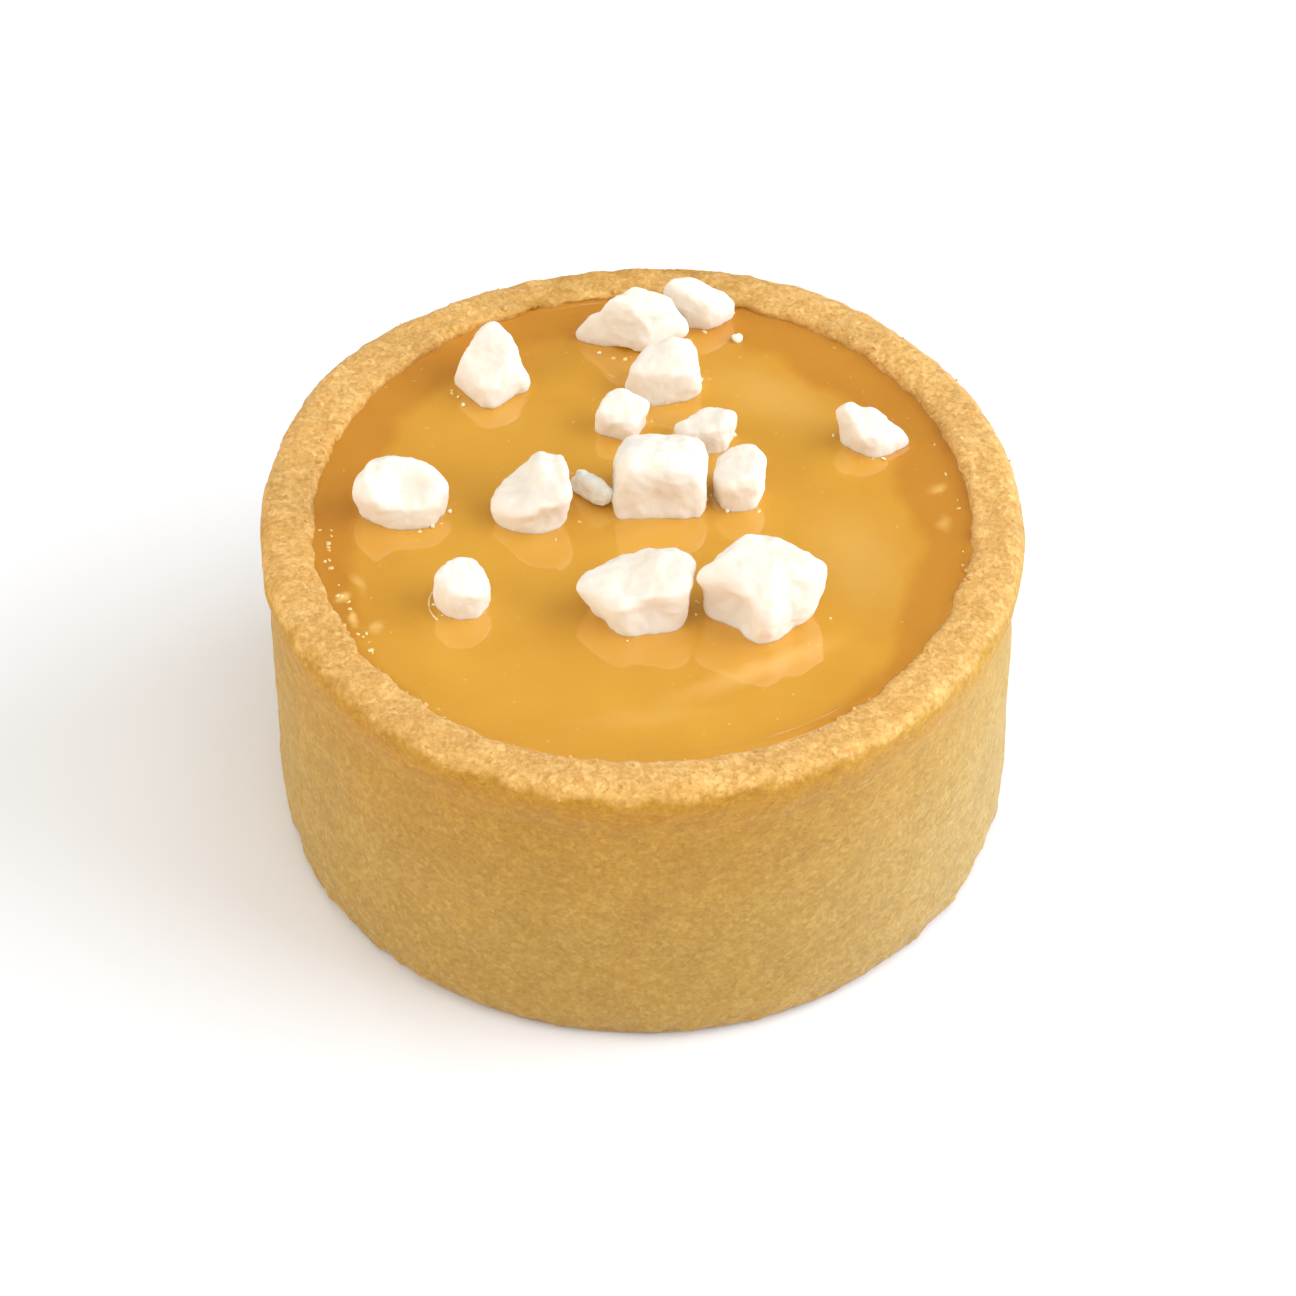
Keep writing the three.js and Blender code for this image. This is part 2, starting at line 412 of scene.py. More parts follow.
# %% [markdown]
# ## The meringue chunks
#
# Broken meringue has flat broken sides, soft edges and a powdery, pitted skin. A ball is put round
# each fixed chunk and shrunk on to it, which keeps an even fine mesh, where a subdivided copy would
# keep the old facets. Then it is sunk a little into the glaze and roughened at three sizes.

# %% Choose the roughness and the hollows
SINK = 0.5 * MM
chunk_lumps = lumps("chunk_lumps", "CLOUDS", 2.4 * MM)
chunk_breaks = lumps("chunk_breaks", "VORONOI", 2.4 * MM)
chunk_pits = lumps("chunk_pits", "CLOUDS", 0.7 * MM)

# Hollows and tips that break up the even sides: the bearing and rise from the chunk's middle, how far
# out (in, if negative) in mm, and how wide in mm.
PULLS = {
    "meringue_01": [(150, 40, -0.5, 2.5), (20, 30, 0.3, 1.5)],
    "meringue_03": [(250, 10, -0.4, 2.0), (60, 60, 0.4, 1.5)],
    "meringue_05": [(215, 35, -0.4, 2.0), (35, 45, 0.5, 2.6), (350, 10, -0.3, 1.4)],
    "meringue_06": [(285, 50, -0.8, 2.4), (120, 50, 0.3, 1.5), (345, 20, 0.3, 1.2)],
    "meringue_07": [(75, 62, 0.6, 1.5), (130, 45, -0.5, 2.0), (280, -5, -0.4, 1.8)],
    "meringue_08": [(275, -10, -0.5, 1.8), (140, 40, -0.3, 2.0), (300, 50, 0.3, 1.8), (12, 38, 0.5, 2.4)],
    "meringue_11": [(166, 45, 0.5, 1.2), (62, 55, 0.4, 1.4), (240, 10, 0.4, 1.2), (5, 20, 0.3, 1.2)],
    "meringue_13": [(290, 5, -0.6, 2.4), (35, 50, 0.4, 1.4), (262, 45, -0.4, 2.2)],
    "meringue_14": [
        (92, 46, -0.4, 1.2), (112, 46, 0.3, 1.4), (183, 15, 0.5, 1.4),
        (222, -5, -1.2, 2.6), (310, 30, -0.4, 2.2),
    ],
}
print("chunks with their own hollows and tips:", len(PULLS))

# %% [markdown]
# A proportional pull moves one spot and lets the skin round it follow, as a thumb does in clay. The
# spot is found by its direction from the middle, because a vertex number would say nothing.

# %% Pull one spot
def pull(chunk, middle, bearing, rise, by, reach):
    """Pull one spot of a chunk out or in, with the skin round it following softly."""
    level = math.cos(math.radians(rise))
    out = Vector((
        level * math.cos(math.radians(bearing)),
        level * math.sin(math.radians(bearing)),
        math.sin(math.radians(rise)),
    ))
    facing = [(vertex.co - middle).normalized().dot(out) for vertex in chunk.data.vertices]
    spot = facing.index(max(facing))
    take(chunk)
    bpy.ops.object.mode_set(mode="EDIT")
    bpy.ops.mesh.select_all(action="DESELECT")
    bpy.ops.object.mode_set(mode="OBJECT")
    chunk.data.vertices[spot].select = True
    bpy.ops.object.mode_set(mode="EDIT")
    bpy.ops.transform.translate(
        value=by * out, use_proportional_edit=True, proportional_edit_falloff="SMOOTH",
        proportional_size=reach,
    )
    bpy.ops.object.mode_set(mode="OBJECT")


# %% Shrink a ball on to each chunk
def meringue_chunk(node_name):
    """A fine, rough chunk in the place of one fixed chunk."""
    low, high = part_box(node_name)
    middle = (low + high) / 2
    bpy.ops.object.select_all(action="DESELECT")
    bpy.ops.mesh.primitive_ico_sphere_add(subdivisions=6, radius=(high - low).length, location=middle)
    chunk = bpy.context.active_object
    chunk.name = node_name.replace("meringue", "chunk")
    settle(chunk)
    apply_modifier(
        chunk, "SHRINKWRAP", target=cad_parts[node_name], wrap_method="PROJECT",
        use_negative_direction=True, use_positive_direction=False,
    )
    apply_modifier(chunk, "SMOOTH", factor=0.5, iterations=20)
    for bearing, rise, by, reach in PULLS.get(node_name, ()):
        pull(chunk, middle, bearing, rise, by * MM, reach * MM)
    push_out(chunk, chunk_lumps, 0.55 * MM)
    push_out(chunk, chunk_breaks, -0.15 * MM)
    push_out(chunk, chunk_pits, 0.12 * MM)
    take(chunk)
    bpy.ops.object.mode_set(mode="EDIT")
    bpy.ops.mesh.select_all(action="SELECT")
    stretch = (high.z - low.z + SINK) / (high.z - low.z)
    bpy.ops.transform.resize(value=(1, 1, stretch), center_override=(middle.x, middle.y, high.z))
    bpy.ops.object.mode_set(mode="OBJECT")
    bpy.ops.object.shade_smooth()
    return chunk


chunks = [meringue_chunk(name) for name in CHUNKS]
print("chunks made:", len(chunks), "with", sum(len(c.data.polygons) for c in chunks), "faces")

# %% [markdown]
# ## The glazed curd
#
# The curd is one closed round body, which fills the case. The clear glaze on it creeps up the crust
# in a small bright slope, and that slope is simply drawn into the outline.

# %% Spin the curd
CREEP = 0.12 * MM
CREEP_REACH = 0.3 * MM
CURD_SKIN = 0.05 * MM
INTO_CRUST = 0.75 * MM
GLAZE_PITCH = 0.25 * MM
CURD_STEPS = 384

surface = CURD_TOP + CURD_SKIN
outer = INNER_RADIUS + INTO_CRUST
curd_floor = CASE_FLOOR + CRUST_TO_CURD
outline = [Vector((0, curd_floor))]
outline += straight(outline[-1], (outer, curd_floor), HIDDEN_PITCH)
outline += straight(outline[-1], (outer, surface + CREEP), HIDDEN_PITCH)
stations = round(outer / GLAZE_PITCH)
for i in range(1, stations + 1):
    radius = outer * (1 - i / stations)
    rise = CREEP * math.exp(-max(0.0, INNER_RADIUS - radius) / CREEP_REACH)
    outline.append(Vector((radius, surface + rise)))
curd = spin_solid("glazed_curd", outline, steps=CURD_STEPS)

# %% [markdown]
# The glaze creeps up the foot of each chunk too. A weight that grows near the chunks lifts the
# surface there. The tray was not quite level when the glaze set, so it stands a little higher at
# the front, and it is nowhere quite flat: slow waves and faint ripples bend what it mirrors.

# %% Let the glaze creep
FOOT_REACH = 0.75 * MM
FOOT_LIFT = 0.15 * MM
FRONT_RISE = 0.55 * MM

bpy.ops.object.select_all(action="DESELECT")
for chunk in chunks:
    chunk.select_set(True)
bpy.context.view_layer.objects.active = chunks[0]
bpy.ops.object.duplicate()
bpy.ops.object.join()
all_chunks = bpy.context.active_object

near_chunk = group_by_place(curd, "near_chunk", lambda r, z, y: 1.0 if z > CURD_TOP else 0.0)
apply_modifier(
    curd, "VERTEX_WEIGHT_PROXIMITY", vertex_group=near_chunk, target=all_chunks,
    proximity_mode="GEOMETRY", proximity_geometry={"FACE"}, min_dist=FOOT_REACH, max_dist=0.0,
    falloff_type="SHARP",
)
shift(curd, near_chunk, "Z", FOOT_LIFT)
bpy.data.objects.remove(all_chunks)
to_front = group_by_place(
    curd, "to_front", lambda r, z, y: (INNER_RADIUS - y) / (2 * INNER_RADIUS) if z > CURD_TOP else 0.0
)
shift(curd, to_front, "Z", FRONT_RISE)
on_top = group_by_place(curd, "on_top", lambda r, z, y: 1.0 if z > CURD_TOP else 0.0)
push_out(curd, lumps("glaze_waves", "CLOUDS", 6 * MM), 0.1 * MM, on_top, direction="Z")
push_out(curd, lumps("glaze_ripples", "CLOUDS", 2.2 * MM), 0.022 * MM, on_top, direction="Z")
print("glaze lifted by up to", FRONT_RISE / MM, "mm at the front")

# %% [markdown]
# ## Finishes
#
# Each finish is a Principled shader whose colour and bump come from noise at the sizes that the real
# surface has. The noise reads object coordinates in millimetres, so its size is a plain number, and
# it stays in place on the piece from every side. Nodes are added in code, one small helper for each
# kind, so that a finish reads like a recipe.

# %% Add nodes and join them
def add(finish, kind, **settings):
    """One new node with its settings."""
    node = finish.node_tree.nodes.new(kind)
    for name, value in settings.items():
        setattr(node, name, value)
    return node


def tune(node, constants):
    """Set a node's own sockets; constants are {socket name: value}."""
    for socket_name, value in constants.items():
        node.inputs[socket_name].default_value = value


def feed(finish, value, socket):
    """Let a socket read an output, or give it a constant."""
    if isinstance(value, bpy.types.NodeSocket):
        finish.node_tree.links.new(value, socket)
    else:
        socket.default_value = value


def new_finish(name):
    """A material with its shader and a millimetre coordinate for its patterns."""
    finish = bpy.data.materials.new(name)
    finish.use_nodes = True
    place = add(finish, "ShaderNodeTexCoord")
    in_mm = add(finish, "ShaderNodeMapping")
    tune(in_mm, {"Scale": (1 / MM, 1 / MM, 1 / MM)})
    feed(finish, place.outputs["Object"], in_mm.inputs["Vector"])
    return finish, finish.node_tree.nodes["Principled BSDF"], in_mm.outputs["Vector"]


# %% Reckon with nodes
def sum_of(finish, operation, *values):
    """Arithmetic on numbers; each value is a number or an output."""
    node = add(finish, "ShaderNodeMath", operation=operation)
    for value, socket in zip(values, node.inputs):
        feed(finish, value, socket)
    return node.outputs["Value"]


def vector_sum(finish, operation, *values):
    """Arithmetic on places; each value is a triple or an output."""
    node = add(finish, "ShaderNodeVectorMath", operation=operation)
    for value, socket in zip(values, node.inputs):
        feed(finish, value, socket)
    return node.outputs["Value" if operation == "LENGTH" else "Vector"]


def remap(finish, value, start, end, to_start=0.0, to_end=1.0, **settings):
    """A value that runs from start to end, made to run from to_start to to_end and no further."""
    node = add(finish, "ShaderNodeMapRange", **settings)
    tune(node, {"From Min": start, "From Max": end, "To Min": to_start, "To Max": to_end})
    feed(finish, value, node.inputs["Value"])
    return node.outputs["Result"]


# %% [markdown]
# Colour is laid on in layers. A ramp turns a value into a colour, and a layer that is multiplied by
# shades near 1 only tints what lies below it, so each layer can be judged by itself.

# %% Noise, colour and relief
def noise(finish, place, size, detail=3.0, roughness=0.5, output="Fac"):
    """Soft noise with features about size millimetres across; gives 0 to 1, or a colour."""
    node = add(finish, "ShaderNodeTexNoise")
    tune(node, {"Scale": 1 / size, "Detail": detail, "Roughness": roughness})
    feed(finish, place, node.inputs["Vector"])
    return node.outputs[output]


def ramp(finish, value, stops):
    """Colours by value; stops are (position, colour)."""
    node = add(finish, "ShaderNodeValToRGB")
    first, last = node.color_ramp.elements
    first.position, first.color = stops[0][0], (*stops[0][1], 1)
    last.position, last.color = stops[-1][0], (*stops[-1][1], 1)
    for position, colour in stops[1:-1]:
        node.color_ramp.elements.new(position).color = (*colour, 1)
    feed(finish, value, node.inputs["Fac"])
    return node.outputs["Color"]


def grey(level):
    return (level, level, level)


def blend(finish, kind, share, first, second):
    """Mix two colours; share is a number or an output, and may be over 1."""
    node = add(finish, "ShaderNodeMix", data_type="RGBA", blend_type=kind, clamp_factor=False)
    share_socket, first_socket, second_socket = node.inputs[0], node.inputs[6], node.inputs[7]
    feed(finish, share, share_socket)
    for colour, socket in ((first, first_socket), (second, second_socket)):
        feed(finish, (*colour, 1) if isinstance(colour, tuple) else colour, socket)
    return node.outputs[2]


def bump(finish, height, depth, strength=1.0, below=None):
    """Relief of depth millimetres; below is the bump that it lies on."""
    node = add(finish, "ShaderNodeBump")
    tune(node, {"Strength": strength, "Distance": depth * MM})
    feed(finish, height, node.inputs["Height"])
    if below is not None:
        feed(finish, below, node.inputs["Normal"])
    return node.outputs["Normal"]


# %% [markdown]
# ### Baked shortcrust
#
# The wall is sandy and olive-tan, the strip under the lip is browner, and the rim is paler and
# grainier. Height sets those three. The browner strip is partly crust that the oven caught and partly
# painted shade under the overhanging lip. Crust is easily made too orange, so its colours keep some
# grey. The wall is also painted paler and cooler at its right and left, a painted sheen of the side
# lights.

# %% Set the crust's colour by height, with painted lip shade and painted side sheen
RIM_STARTS = 0.955
RIM_IS_FULL = 0.985


def share_of_height(finish, place):
    """0 at the foot and 1 on the rim, with a border that wanders."""
    split = add(finish, "ShaderNodeSeparateXYZ")
    feed(finish, place, split.inputs["Vector"])
    wander, drift = 1.6, 0.8
    height = sum_of(finish, "MULTIPLY_ADD", noise(finish, place, 2.0, detail=2.0), wander, split.outputs["Z"])
    return remap(finish, height, drift, RIM_HEIGHT / MM + drift)


def crust_by_height_and_lip_shade(finish, share):
    return ramp(finish, share, [
        (0.0, (0.355, 0.188, 0.058)),
        (0.03, (0.430, 0.247, 0.046)),
        (0.45, (0.453, 0.251, 0.042)),
        # 0.78 to 0.955: the browner strip under the lip, partly crust that the oven caught, partly painted
        #                shade under the overhanging lip
        (0.78, (0.460, 0.233, 0.026)),
        (0.90, (0.468, 0.212, 0.010)),
        (0.955, (0.498, 0.234, 0.014)),
        (0.980, (0.705, 0.390, 0.100)),
        (1.0, (0.722, 0.404, 0.112)),
    ])


def painted_side_sheen(finish, place):
    """A painted sheen of the side lights: the wall paler and cooler at its left and right ends."""
    split = add(finish, "ShaderNodeSeparateXYZ")
    feed(finish, place, split.inputs["Vector"])
    across = remap(finish, split.outputs["X"], -RIM_RADIUS / MM, RIM_RADIUS / MM)
    return ramp(finish, across, [
        (0.0, (1.08, 1.13, 1.17)),
        (0.15, grey(1.0)),
        (0.62, grey(1.0)),
        (0.85, (1.0, 1.06, 1.42)),
        (1.0, (1.03, 1.18, 1.85)),
    ])


# %% [markdown]
# Under a lens shortcrust is a mass of small flakes, each one shade lighter or darker. Noise alone
# looks like felt, so a Voronoi pattern gives every flake a flat shade of its own, and a second noise
# makes its straight borders crooked. Grain, broad patches and a few dark flecks lie over that.

# %% Make the shortcrust finish
FLAKE_SIZE = 0.42
GRAIN_SIZE = 0.30
FLECK_COLOUR = (0.42, 0.22, 0.07)


def crust_flakes(finish, place):
    """A random shade for each flake, 0 to 1."""
    flakes = add(finish, "ShaderNodeTexVoronoi", feature="F1")
    tune(flakes, {"Scale": 1 / FLAKE_SIZE})
    crooked = noise(finish, place, 0.5, detail=2.0, output="Color")
    feed(finish, vector_sum(finish, "MULTIPLY_ADD", crooked, grey(0.7), place), flakes.inputs["Vector"])
    shades = add(finish, "ShaderNodeSeparateColor")
    feed(finish, flakes.outputs["Color"], shades.inputs["Color"])
    return shades.outputs["Red"]


def shortcrust():
    finish, shader, place = new_finish("shortcrust")
    share = share_of_height(finish, place)
    more_on_rim = remap(finish, share, RIM_STARTS, RIM_IS_FULL, 1.15, 1.5)
    only_on_wall = remap(finish, share, RIM_STARTS, RIM_IS_FULL, 1.0, 0.0)
    flake_value = crust_flakes(finish, place)
    grain_value = noise(finish, place, GRAIN_SIZE, detail=4.0, roughness=0.62)

    patches = ramp(finish, noise(finish, place, 4.0), [(0.3, grey(0.94)), (0.7, grey(1.05))])
    flakes = ramp(finish, flake_value, [
        (0.0, (0.93, 0.90, 0.83)), (0.6, grey(1.0)), (1.0, (1.08, 1.14, 1.28)),
    ])
    grain = ramp(finish, grain_value, [
        (0.32, (0.91, 0.85, 0.74)), (0.5, grey(1.0)), (0.68, (1.09, 1.14, 1.26)),
    ])
    flecks = ramp(finish, noise(finish, place, 0.5, detail=2.0), [(0.775, grey(0.0)), (0.81, grey(0.7))])
    colour = blend(finish, "MULTIPLY", 1.0, crust_by_height_and_lip_shade(finish, share), patches)
    colour = blend(finish, "MULTIPLY", more_on_rim, colour, flakes)
    colour = blend(finish, "MULTIPLY", more_on_rim, colour, grain)
    colour = blend(finish, "MIX", flecks, colour, FLECK_COLOUR)
    # painted sheen of the side lights: the wall paler and cooler towards its left and right ends
    colour = blend(finish, "MULTIPLY", only_on_wall, colour, painted_side_sheen(finish, place))
    feed(finish, colour, shader.inputs["Base Color"])

    relief = bump(finish, noise(finish, place, 0.8), 0.07, 0.6)
    relief = bump(finish, flake_value, 0.035, 0.6, relief)
    relief = bump(finish, grain_value, 0.08, 0.8, relief)
    feed(finish, relief, shader.inputs["Normal"])
    tune(shader, {
        "Roughness": 0.8,
        "Specular IOR Level": 0.3,
        "Subsurface Weight": 0.15,
        "Subsurface Radius": (1.0, 0.5, 0.2),
        "Subsurface Scale": 0.4 * MM,
        "Sheen Weight": 0.14,
        "Sheen Roughness": 0.5,
        "Sheen Tint": (1.0, 0.96, 0.90, 1),
    })
    return finish


shortcrust_finish = shortcrust()
print("shortcrust has", len(shortcrust_finish.node_tree.nodes), "nodes")

# %% [markdown]
# ### Glazed curd
#
# The curd is yellow and opaque, the glaze over it clear and wet. Real layers with light bent through
# them would be slow and grainy, so one shader does both: a soft glow from below the surface, and a
# smooth clear coat. The glaze is darker where it meets the crust: partly thicker glaze, partly painted
# shade and a painted reflection of the crust wall. Pale swirls lie on it elsewhere, painted reflections
# of the soft lights in the uneven glaze. Both are ovals, led astray by noise so that no border looks drawn.

# %% Lay ovals on the curd
# Pale swirls painted on the glaze, painted reflections of the soft lights in its uneven surface: the
# middle from the axis, the length and width in mm, the turn in degrees, and the strength.
REFLECTION_SWIRLS = [
    ((7.4, -14.4), (19.0, 2.8), 26, 0.80),
    ((0.5, -18.6), (14.0, 3.0), 6, 0.35),
    ((14.5, -4.0), (9.0, 16.0), 15, 0.45),
    ((9.0, 12.0), (16.0, 7.0), 145, 0.45),
    ((-20.1, -7.7), (1.8, 1.2), 70, 1.7),
    ((-19.4, -9.6), (2.4, 1.0), 100, 1.7),
    ((-17.6, -10.3), (2.2, 1.6), 60, 1.3),
    ((-19.0, -6.2), (3.4, 1.3), 112, 0.9),
    ((20.0, 3.1), (2.2, 1.5), 30, 0.9),
    ((20.6, -0.4), (1.6, 2.6), 10, 0.7),
]


def wandering(finish, place, size, reach):
    """The place, led astray by up to half of reach, in bends about size long; both in millimetres."""
    bends = noise(finish, place, size, output="Color")
    centred = vector_sum(finish, "SUBTRACT", bends, grey(0.5))
    return vector_sum(finish, "MULTIPLY_ADD", centred, (reach, reach, 0.0), place)


def out_of_oval(finish, place, middle, half_size, turn=0):
    """0 in the middle of an oval, 1 at its edge, more outside; millimetres, and turn in degrees."""
    about = add(finish, "ShaderNodeMapping", vector_type="TEXTURE")
    tune(about, {
        "Location": (AXIS.x / MM + middle[0], AXIS.y / MM + middle[1], CURD_TOP / MM),
        "Rotation": (0, 0, math.radians(turn)),
        "Scale": half_size,
    })
    feed(finish, place, about.inputs["Vector"])
    return vector_sum(finish, "LENGTH", about.outputs["Vector"])


# %% Make the curd finish
# The oval of thin glaze clear of painted shade; outside it the glaze darkens into a band of thicker glaze
# with painted shade and a painted reflection of the crust wall.
THIN_UNSHADED_GLAZE_MIDDLE = (-0.6, -2.6)
THIN_UNSHADED_GLAZE_SIZE = (19.7, 22.6, 200.0)
REFLECTION_SWIRL_DEPTH = 2.0
REFLECTION_SWIRL_COLOUR = (0.82, 0.46, 0.115)
SPECK_COLOUR = (0.93, 0.66, 0.28)


def with_painted_reflections(finish, place, colour):
    """The colour with each painted reflection swirl laid over it."""
    crooked = wandering(finish, place, 2.0, 1.6)
    for middle, (length, width), turn, strength in REFLECTION_SWIRLS:
        out = out_of_oval(finish, crooked, middle, (length / 2, width / 2, REFLECTION_SWIRL_DEPTH), turn)
        spot = remap(finish, out, 1.0, 0.0, interpolation_type="SMOOTHSTEP")
        colour = blend(finish, "MIX", sum_of(finish, "MULTIPLY", spot, strength), colour, REFLECTION_SWIRL_COLOUR)
    return colour


def glazed_curd():
    finish, shader, place = new_finish("glazed_curd")
    crooked = wandering(finish, place, 5.0, 4.0)
    # darker towards the crust: thicker glaze, painted shade and a painted reflection of the crust wall
    by_radius = ramp(finish, out_of_oval(finish, crooked, THIN_UNSHADED_GLAZE_MIDDLE, THIN_UNSHADED_GLAZE_SIZE), [
        (0.0, (0.698, 0.345, 0.035)),
        (0.78, (0.698, 0.343, 0.033)),
        (0.94, (0.683, 0.323, 0.030)),
        (0.985, (0.615, 0.260, 0.021)),
        (1.0, (0.595, 0.246, 0.020)),
    ])
    clouds = ramp(finish, noise(finish, place, 7.0, detail=2.0), [
        (0.3, (0.95, 0.92, 0.88)), (0.7, (1.03, 1.06, 1.12)),
    ])
    specks = ramp(finish, noise(finish, place, 0.45, detail=1.0), [(0.74, grey(0.0)), (0.80, grey(0.35))])
    # painted reflections of the soft lights laid over the curd's colour
    colour = with_painted_reflections(finish, place, blend(finish, "MULTIPLY", 0.9, by_radius, clouds))
    colour = blend(finish, "MIX", specks, colour, SPECK_COLOUR)
    feed(finish, colour, shader.inputs["Base Color"])
    relief = bump(finish, noise(finish, place, 2.5, detail=2.0), 0.03, 0.15)
    feed(finish, relief, shader.inputs["Normal"])
    tune(shader, {
        "Roughness": 0.35,
        "Specular IOR Level": 0.1,
        "Subsurface Weight": 0.3,
        "Subsurface Radius": (1.0, 0.7, 0.3),
        "Subsurface Scale": 0.4 * MM,
        "Coat Weight": 1.0,
        "Coat Roughness": 0.015,
        "Coat IOR": 1.7,
    })
    return finish


curd_finish = glazed_curd()
print("curd has", len(REFLECTION_SWIRLS), "swirls in", len(curd_finish.node_tree.nodes), "nodes")

# %% [markdown]
# Small beads of glaze are too thin to look as deep as the curd. They are paler and golden, partly
# because thin glaze is paler and partly as a painted glint, and under an even shinier coat, so that
# each shows a spark.

# %% Make the finish of the small wet beads
def glaze_beads():
    finish, shader, place = new_finish("glaze_beads")
    # paler than the curd: partly thin glaze, partly a painted glint
    tint = ramp(finish, noise(finish, place, 1.0), [(0.35, (0.80, 0.46, 0.09)), (0.6, (0.95, 0.70, 0.28))])
    feed(finish, tint, shader.inputs["Base Color"])
    tune(shader, {"Roughness": 0.2, "Coat Weight": 1.0, "Coat Roughness": 0.03, "Coat IOR": 1.8})
    return finish


pale_glint_bead_finish = glaze_beads()
print("finish made:", pale_glint_bead_finish.name)

# %% [markdown]
# ### Meringue
#
# Meringue is nearly white, dry and full of tiny bubbles, so light goes a little way in and comes out
# again. Plain white would look like plaster: a short glow under the skin and a fine powdery relief
# make the difference. Light that goes in deep is lost where a small piece is stuck in the curd, and
# its foot turns grey. So dust and slivers get a shorter glow. Their tint is paler and warmer than the
# chunks': painted light, which brightens small pieces that lie in the shade of the chunks.

# %% Make the meringue finishes
def meringue(name, glow, deep, pale):
    """Glow is how far light goes in, in millimetres; deep and pale are the two tints."""
    finish, shader, place = new_finish(name)
    tint = ramp(finish, noise(finish, place, 1.8), [(0.3, deep), (0.7, pale)])
    feed(finish, tint, shader.inputs["Base Color"])
    relief = bump(finish, noise(finish, place, 0.7), 0.05, 0.5)
    relief = bump(finish, noise(finish, place, 0.16, detail=2.0), 0.02, 0.4, relief)
    feed(finish, relief, shader.inputs["Normal"])
    tune(shader, {
        "Roughness": 0.9,
        "Specular IOR Level": 0.2,
        "Subsurface Weight": 0.8,
        "Subsurface Radius": (1.0, 1.0, 1.0),
        "Subsurface Scale": glow * MM,
    })
    return finish


meringue_finish = meringue("meringue", 0.4, (0.860, 0.770, 0.640), (0.890, 0.810, 0.700))
# Dust and sliver: paler, warmer tints than the chunks, painted light for pieces that lie in the chunks'
# shade.
dust_finish_painted_light = meringue("meringue_dust", 0.05, (1.0, 0.870, 0.620), (1.0, 0.920, 0.740))
sliver_finish_painted_light = meringue("meringue_sliver_painted_light", 0.05, (1.0, 0.940, 0.800), (1.0, 0.965, 0.860))
print("finishes made:", meringue_finish.name, dust_finish_painted_light.name, sliver_finish_painted_light.name)

# %% [markdown]
# A piece can move with a body of the fixed model and stand in for fixed nodes.
# Here all is one body, so every piece rides on the root. Small things such as dust replace nothing.

# %% Dress the large pieces
def dress(piece, finish, slot_name, *nodes):
    """Give a piece its finish and tie it to the fixed model."""
    piece.data.materials.clear()
    piece.data.materials.append(finish)
    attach(piece, "root")
    if nodes:
        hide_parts(*nodes)


dress(crust, shortcrust_finish, "shortcrust", "pastry_case")
dress(curd, curd_finish, "glazed_curd", "curd_filling")
for chunk, node_name in zip(chunks, CHUNKS):
    dress(chunk, meringue_finish, "meringue", node_name)
print("dressed:", crust.name, curd.name, "and", len(chunks), "chunks")

# %% [markdown]
# ## Crumbs
#
# Breaking meringue leaves slivers and dust, and a crust sheds pale crumbs. Each kind is one mesh:
# a small rough pebble is modelled once, copied, turned and sized, and all the copies are joined.

# %% Copy one model many times
def copies_of(model, name, placings):
    """One mesh of copies of the model, each with its place, size and turn; the model is used up."""
    copies = []
    for place, size, turn in placings:
        copy = model.copy()
        copy.data = model.data.copy()
        copy.location, copy.scale, copy.rotation_euler = place, size, turn
        bpy.context.scene.collection.objects.link(copy)
        copies.append(copy)
    bpy.data.objects.remove(model)
    bpy.ops.object.select_all(action="DESELECT")
    for copy in copies:
        copy.select_set(True)
    bpy.context.view_layer.objects.active = copies[0]
    bpy.ops.object.join()
    joined = bpy.context.active_object
    joined.name = name
    settle(joined)
    bpy.ops.object.shade_smooth()
    print(name, "has", len(copies), "pieces")
    return joined


def pebbles(name, places, seed):
    """One mesh of small rough pebbles; places are (point, size across)."""
    pebble_rng = random.Random(seed)
    bpy.ops.object.select_all(action="DESELECT")
    bpy.ops.mesh.primitive_ico_sphere_add(subdivisions=2, radius=0.5)
    model = bpy.context.active_object
    apply_modifier(
        model, "DISPLACE", texture=lumps(name + "_shape", "CLOUDS", 0.6), strength=0.5, mid_level=0.5,
    )
    placings = []
    for point, size in places:
        turn = [pebble_rng.uniform(0, 2 * math.pi) for _ in range(3)]
        shape = [size * pebble_rng.uniform(*span) for span in ((0.8, 1.0), (0.6, 0.9), (0.45, 0.7))]
        placings.append((point, shape, turn))
    return copies_of(model, name, placings)


# %% [markdown]
# Dust falls close to where the meringue broke. The glaze is not level, so each place is found by
# looking straight down on to it. One larger crumb has rolled away to the back.

# %% Scatter the meringue dust
STRAY_CRUMB = (6.7 * MM, 18.0 * MM)
STRAY_SIZE = 0.9 * MM
STRAY_LIFT = 0.2 * MM
LOOK_FROM = 2 * RIM_HEIGHT


def on_glaze(x, y):
    """The point of the glaze that is straight above or below (x, y)."""
    hit, point, normal, face = curd.ray_cast(Vector((x, y, LOOK_FROM)), Vector((0, 0, -1)))
    return point


def beside_chunks(count, nearest, furthest, rng):
    """Places on the glaze beside each chunk; nearest and furthest are in half widths of the chunk."""
    spots = []
    for node_name in CHUNKS:
        low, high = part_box(node_name)
        middle = (low + high) / 2
        for _ in range(count):
            bearing = rng.uniform(0, 2 * math.pi)
            reach = rng.uniform(nearest, furthest)
            spots.append(on_glaze(
                middle.x + reach * (high.x - low.x) / 2 * math.cos(bearing),
                middle.y + reach * (high.y - low.y) / 2 * math.sin(bearing),
            ))
    return spots


